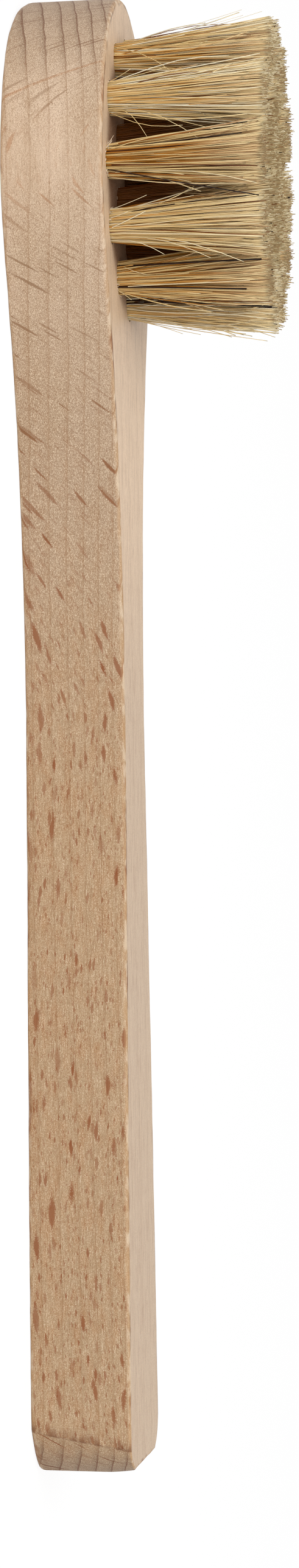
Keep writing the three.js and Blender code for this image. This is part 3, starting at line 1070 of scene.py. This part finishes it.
    def build(self, count):
        """Paths of all folded bristles, and the tone shift of each for its lock and, as painted shade, for
        its depth.
        """
        rng = self.rng
        right, left = self.roots(count)
        lock_index = np.arange(self.LOCKS) + 0.5
        lock_radius = self.root * np.sqrt(lock_index / self.LOCKS)
        lock_angle = lock_index * self.LOCK_TURN + rng.random() * self.ANY_TURN
        locks = np.stack([lock_radius * np.cos(lock_angle), lock_radius * np.sin(lock_angle)], 1)
        locks += rng.normal(0.0, self.LOCK_SCATTER, locks.shape)
        shift = rng.normal(0.0, self.LOCK_SHIFT, locks.shape)
        shift = np.clip(shift, -self.MOST_SHIFT, self.MOST_SHIFT)
        sides = []
        for roots in (right, left):
            tips, astray = self.tips(roots, locks, shift)
            heights = self.heights(tips)
            heights -= np.where(astray, self.STRAY_SHORT_BY * rng.random(len(roots)) ** 2, 0.0)
            bow = rng.normal(0.0, self.BOW, roots.shape)
            bow[astray] *= self.STRAY_BOW
            wave = rng.normal(0.0, self.WAVE, len(roots))
            sides.append(self.legs(roots, tips, heights, bow, wave))
        paths = np.concatenate([sides[0][:, ::-1], self.fold(right, left), sides[1]], 1)
        # Painted shade: the deeper a bristle stands in its tuft, the darker and more amber its tone
        depth = np.clip(1 - np.linalg.norm(right, axis=1) / self.root, 0.0, 1.0)
        near = np.linalg.norm(right[:, None] - locks[None], axis=2).argmin(1)
        lock_tone = rng.normal(0.0, self.LOCK_WARMTH, len(locks))[near]
        return paths, self.DEPTH_SHADE * depth + lock_tone

    def along(self):
        """Each step's place on a folded bristle, from 0 at the wire to 1 at either tip."""
        free = self.HOLE_SHARE + (1 - self.HOLE_SHARE) * self.FREE_STEPS
        fold = [self.WIRE_SHARE, 0.0, 0.0, 0.0, self.WIRE_SHARE]
        return np.concatenate([free[::-1], fold, free])


# Bristle tones from black to cream: lowest, highest and share of bristles for each band
TONE_BANDS = (
    (0.0, 0.03, 0.013),
    (0.08, 0.2, 0.055),
    (0.24, 0.42, 0.175),
    (0.42, 0.8, 0.477),
    (0.8, 1.0, 0.28),
)
# Highest tone of the brown and black bristles, which keep it, and lowest that others are warmed to
PALEST_DARK = 0.2
DARKEST_PALE = 0.22


def draw_tones(rng, tone_and_shade_shift):
    """A tone for each bristle: mostly straw, some cream and amber, a few brown, hardly any black."""
    bands = np.array(TONE_BANDS)
    picked = rng.choice(len(bands), len(tone_and_shade_shift), p=bands[:, 2])
    low, high = bands[picked, :2].T
    tones = low + (high - low) * rng.random(len(tone_and_shade_shift))
    pale = tones > PALEST_DARK
    # The shift holds painted shade from a tuft's depth, as well as the tones of locks and tufts
    tones[pale] = np.clip(tones[pale] - tone_and_shade_shift[pale], DARKEST_PALE, 1.0)
    return tones


# The UV map's picture: tone across it, a little of it round each strand, length up it, and a margin
TONE_WIDTH = 0.96
ROUND_WIDTH = 0.025
PICTURE_MARGIN = 0.01


def strand_mesh(name, paths, radii, along, tones, material):
    """A mesh of bristles, with tone and place kept on it for the finish and in a UV map."""
    sides = STRAND_SIDES
    points, faces, place = tubes(paths, radii, sides)
    mesh = bpy.data.meshes.new(name)
    mesh.from_pydata(points.tolist(), [], faces)
    mesh.polygons.foreach_set("use_smooth", np.ones(len(faces), bool))
    steps = paths.shape[1]
    tone = np.repeat(tones, steps * sides)
    far = np.asarray(along)[place]
    for label, values in (("strand_tone", tone), ("strand_along", far)):
        kept = mesh.attributes.new(label, "FLOAT", "POINT")
        kept.data.foreach_set("value", values.astype(np.float32))
    corner = np.zeros(len(mesh.loops), np.int32)
    mesh.loops.foreach_get("vertex_index", corner)
    round_strand = (corner % sides) / sides * ROUND_WIDTH
    across = np.clip(tone[corner] * TONE_WIDTH + round_strand, 0.0, 1.0)
    picture = mesh.uv_layers.new(name="OFBake")
    upward = far[corner] * (1 - 2 * PICTURE_MARGIN) + PICTURE_MARGIN
    picture.data.foreach_set("uv", np.stack([across, upward], 1).ravel().astype(np.float32))
    mesh.materials.append(material)
    return mesh


class PolishBrushMakeTufts(bpy.types.Operator):
    """Builds the nineteen tufts from bristles folded round their wires"""

    bl_idname = "polish_brush.make_tufts"
    bl_label = "Make the tufts"

    # Tufts with more amber bristles than the rest, or fewer, and by how much of the range of tones
    WARMER = {
        "outer_12": 0.17,
        "outer_10": 0.18,
        "outer_09": -0.12,
        "outer_08": -0.1,
        "outer_07": -0.25,
        "outer_01": -0.3,
    }

    # Tufts frayed towards the neck, and how many times more strays they have there
    FRAYED = {"outer_01": 6.0, "outer_02": 3.0, "outer_12": 2.0}

    # Limits of a bristle's thickness as shares of the usual one, and how much thinner its tip is
    THICKNESS = (0.72, 1.22)
    TAPER = 0.22

    # Hidden leg of a bristle that stands out: how far its tip spreads, and how much shorter it is
    HIDDEN_SPREAD = 1.8
    HIDDEN_SHORT_BY = 2.0

    # Bristles that stand out: outer tuft, root and tip from its axis, tip height, thickness, tone, bow
    STANDOUTS = (
        (1, (-0.2, -1.85), (1.6, -4.7), 29.9, 0.25, 0.02, (0.15, -0.35)),
        (1, (1.8, -0.5), (4.2, -1.5), 20.9, 0.1, 0.85, (0.2, -0.3)),
        (1, (1.75, -0.7), (4.1, -2.0), 18.8, 0.09, 0.8, (0.0, -0.3)),
        (1, (1.6, -0.9), (3.7, -2.6), 20.0, 0.1, 0.9, (-0.2, -0.3)),
        (1, (1.85, -0.2), (4.3, -1.5), 26.4, 0.12, 0.75, (0.1, 0.0)),
        (1, (1.85, 0.2), (5.1, -0.5), 28.9, 0.11, 0.7, (0.2, 0.0)),
        (6, (-1.7, 0.5), (-7.6, 0.3), 27.2, 0.07, 0.97, (0.2, 0.0)),
        (7, (-1.8, -0.3), (-4.7, -0.5), 28.8, 0.08, 0.98, (0.4, 0.0)),
        (7, (-1.8, 0.2), (-4.1, 0.5), 28.2, 0.08, 0.97, (0.3, 0.0)),
        (7, (-1.7, -0.6), (-4.9, -1.0), 26.4, 0.07, 0.98, (0.1, 0.0)),
        (8, (-1.2, -1.5), (4.1, -3.9), 21.1, 0.11, 0.5, (-0.7, -0.5)),
        (8, (1.2, -1.4), (2.6, -3.6), 22.6, 0.12, 0.97, (0.1, -0.4)),
        (8, (-1.7, -0.8), (-4.4, -1.3), 27.4, 0.07, 0.98, (0.2, -0.1)),
        (9, (1.7, -0.9), (5.4, -1.8), 16.8, 0.09, 0.75, (-1.3, -0.5)),
        (9, (1.5, -1.2), (6.0, -3.6), 23.1, 0.09, 0.8, (-1.0, -0.4)),
        (9, (1.75, -0.7), (4.0, -2.6), 20.9, 0.09, 0.7, (0.9, -0.4)),
        (10, (1.2, -1.45), (5.3, -3.7), 30.0, 0.19, 0.03, (0.3, -0.5)),
        (10, (0.75, -1.65), (2.15, -4.7), 30.0, 0.2, 0.08, (0.0, -0.35)),
        (10, (-1.6, -1.1), (-3.7, -3.6), 30.0, 0.24, 0.17, (0.2, -0.5)),
        (11, (1.8, -0.8), (3.8, -1.6), 18.4, 0.09, 0.92, (-0.5, -0.4)),
        (11, (1.6, -1.1), (4.6, -2.8), 24.0, 0.09, 0.9, (-0.8, -0.4)),
        (11, (1.5, -1.2), (5.3, -3.6), 27.9, 0.11, 0.9, (-0.9, -0.4)),
        (11, (0.6, -1.75), (-1.1, -2.8), 16.4, 0.12, 0.97, (0.0, -0.2)),
        (12, (-1.2, -1.45), (-1.0, -4.4), 29.5, 0.27, 0.02, (0.0, -0.4)),
        (12, (-1.6, -1.1), (0.0, -1.9), 15.7, 0.09, 0.85, (0.3, -0.7)),
    )

    def execute(self, context):
        settings = context.scene.polish_brush_tufts
        open_looks = {"root_shade_share": 0.07, "root_shade_end": 0.97, "dull_start": 0.97, "gloss": 0.28}
        # Painted shade: the inner tufts are dark warm brown over most of their length, with little gloss
        inner_shade_looks = {"root_shade_share": 0.94, "root_shade_end": 0.92, "dull_start": 0.94, "gloss": 0.05}
        outer = bristle_finish("open_bristle", settings, settings.painted_root_shade, **open_looks)
        inner = bristle_finish("shaded_inner_bristle", settings, settings.inner_root_shade, **inner_shade_looks)
        for number, name in enumerate(SITES):
            material = outer if name.startswith("outer") else inner
            rng = np.random.default_rng(TUFT_SEED + number)
            site = site_of(name)
            tip_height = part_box(f"tuft_{name}")[1].z
            shape = TuftShape(rng, settings, site, tip_height, self.FRAYED.get(name, 0.0))
            paths, tone_and_shade_shift = shape.build(settings.bristles)
            tones = draw_tones(rng, tone_and_shade_shift + self.WARMER.get(name, 0.0))
            width = settings.diameter / MM / 2 * rng.uniform(*self.THICKNESS, len(paths))
            along = shape.along()
            single, single_tones, single_width = self.standouts(name, shape)
            if single:
                paths = np.concatenate([paths, single])
                tones = np.concatenate([tones, single_tones])
                width = np.concatenate([width, single_width])
            radii = width[:, None] * (1.0 - self.TAPER * along[None, :])
            paths = paths * MM + site * (1.0, 1.0, 0.0)
            mesh = strand_mesh(f"bristles_{name}", paths, radii * MM, along, tones, material)
            add_piece(f"bristles_{name}", mesh, "bristle", f"tuft_{name}")
        return {"FINISHED"}

    def standouts(self, name, shape):
        """The single bristles of one tuft. Each is folded like the rest, with a short hidden leg."""
        paths, tones, widths = [], [], []
        for tuft, root, tip, height, thickness, tone, bow in self.STANDOUTS:
            if name != f"outer_{tuft:02d}":
                continue
            right = np.array([[abs(root[0]), root[1]]])
            left = np.array([[-abs(root[0]), root[1]]])
            shown, hidden = (right, left) if root[0] > 0 else (left, right)
            leg = shape.legs(shown, np.array([tip]), np.array([height]), np.array([bow]))
            hidden_tip = hidden * self.HIDDEN_SPREAD
            hidden_height = np.array([height - self.HIDDEN_SHORT_BY])
            short = shape.legs(hidden, hidden_tip, hidden_height, np.zeros((1, 2)))
            first, second = (leg, short) if root[0] > 0 else (short, leg)
            paths.append(np.concatenate([first[:, ::-1], shape.fold(right, left), second], 1)[0])
            tones.append(tone)
            widths.append(thickness / 2)
        return paths, tones, widths


class PolishBrushFinishAnchors(bpy.types.Operator):
    """Gives the anchor wires their steel finish"""

    bl_idname = "polish_brush.finish_anchors"
    bl_label = "Finish the anchor wires"

    def execute(self, context):
        material = wire_finish()
        for name in SITES:
            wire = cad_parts[f"anchor_{name}"]
            if wire.material_slots:
                wire.material_slots[0].material = material
            else:
                wire.data.materials.append(material)
        return {"FINISHED"}


class PolishBrushSetStage(bpy.types.Operator):
    """Sets the camera, floor and soft studio light"""

    bl_idname = "polish_brush.set_stage"
    bl_label = "Set the stage"

    CAMERA_PLACE = (6.55 * MM, -394.4 * MM, 67.96 * MM)
    FLOOR_HALF = 3.0
    MIDDLE = Vector((0.0, 0.0, 0.012))
    KEY_PLACE = Vector((-0.14, -0.85, 0.72))
    KEY_SIZE = 1.1

    def execute(self, context):
        settings = context.scene.polish_brush_stage
        self.camera(context, settings)
        self.floor(settings)
        self.key_lamp(settings)
        self.world(context, settings)
        context.scene.view_settings.view_transform = "Standard"
        return {"FINISHED"}

    def camera(self, context, settings):
        """A camera low beside the brush, turned so that the head is at the top."""
        elevation, roll = settings.elevation, settings.roll
        forward = Vector((0.0, math.cos(elevation), -math.sin(elevation)))
        upright = Vector((0.0, math.sin(elevation), math.cos(elevation)))
        lengthwise = Vector((1.0, 0.0, 0.0))
        right = upright * math.cos(roll) + lengthwise * math.sin(roll)
        up = upright * math.sin(roll) - lengthwise * math.cos(roll)
        turn = Matrix((right, up, -forward)).transposed()
        data = bpy.data.cameras.new("camera")
        data.lens = settings.lens
        data.sensor_width = 36.0
        data.sensor_fit = "AUTO"
        data.clip_start = 0.01
        data.clip_end = 20.0
        camera = add_object("camera", data)
        camera.matrix_world = Matrix.Translation(self.CAMERA_PLACE) @ turn.to_4x4()
        context.scene.camera = camera

    def floor(self, settings):
        """A plain floor under the brush."""
        half = self.FLOOR_HALF
        corners = [(-half, -half, 0.0), (half, -half, 0.0), (half, half, 0.0), (-half, half, 0.0)]
        mesh = bpy.data.meshes.new("floor")
        mesh.from_pydata(corners, [], [(0, 1, 2, 3)])
        mesh.materials.append(floor_finish(settings))
        floor = add_object("floor", mesh)

    def key_lamp(self, settings):
        """A soft square lamp that faces the brush."""
        data = bpy.data.lights.new("key_lamp", "AREA")
        data.shape = "SQUARE"
        data.size = self.KEY_SIZE
        data.energy = settings.key
        lamp = add_object("key_lamp", data)
        lamp.location = self.KEY_PLACE
        lamp.rotation_mode = "QUATERNION"
        lamp.rotation_quaternion = (self.MIDDLE - self.KEY_PLACE).to_track_quat("-Z", "Y")

    def world(self, context, settings):
        """Even light from all round, white where it is seen."""
        world = bpy.data.worlds.new("studio")
        world.use_nodes = True
        context.scene.world = world
        finish = Finish(world.node_tree)
        white = (1.0, 1.0, 1.0, 1.0)
        sky = finish.node("ShaderNodeBackground", {}, {"Color": white, "Strength": settings.sky})
        backdrop = finish.node("ShaderNodeBackground", {}, {"Color": white, "Strength": 1.0})
        light = finish.node("ShaderNodeMixShader", {}, {0: seen_directly(finish), 1: sky, 2: backdrop})
        finish.node("ShaderNodeOutputWorld", {}, {"Surface": light})


class PolishBrushPanel(bpy.types.Panel):
    """Lists the brush's operators and settings"""

    bl_idname = "VIEW3D_PT_polish_brush"
    bl_label = "Polish brush"
    bl_space_type = "VIEW_3D"
    bl_region_type = "UI"
    bl_category = "Polish brush"

    def draw(self, context):
        for operator in OPERATORS:
            self.layout.operator(operator.bl_idname)
        for name in SETTINGS:
            group = getattr(context.scene, name)
            box = self.layout.box()
            for field in group.__annotations__:
                box.prop(group, field)


SETTINGS = {
    "polish_brush_handle": PolishBrushHandleSettings,
    "polish_brush_tufts": PolishBrushTuftSettings,
    "polish_brush_stage": PolishBrushStageSettings,
}
OPERATORS = (
    PolishBrushMakeHandle,
    PolishBrushMakeTufts,
    PolishBrushFinishAnchors,
    PolishBrushSetStage,
)


def register():
    """Adds the brush's settings, operators and panel to Blender."""
    for name, group in SETTINGS.items():
        bpy.utils.register_class(group)
        setattr(bpy.types.Scene, name, bpy.props.PointerProperty(type=group))
    for operator in OPERATORS:
        bpy.utils.register_class(operator)
    bpy.utils.register_class(PolishBrushPanel)


def unregister():
    """Takes the brush's settings, operators and panel out of Blender."""
    bpy.utils.unregister_class(PolishBrushPanel)
    for operator in reversed(OPERATORS):
        bpy.utils.unregister_class(operator)
    for name, group in SETTINGS.items():
        delattr(bpy.types.Scene, name)
        bpy.utils.unregister_class(group)


def main():
    """Builds the brush and its stage."""
    register()
    bpy.ops.polish_brush.make_handle()
    bpy.ops.polish_brush.make_tufts()
    bpy.ops.polish_brush.finish_anchors()
    bpy.ops.polish_brush.set_stage()


if __name__ == "__main__":
    main()
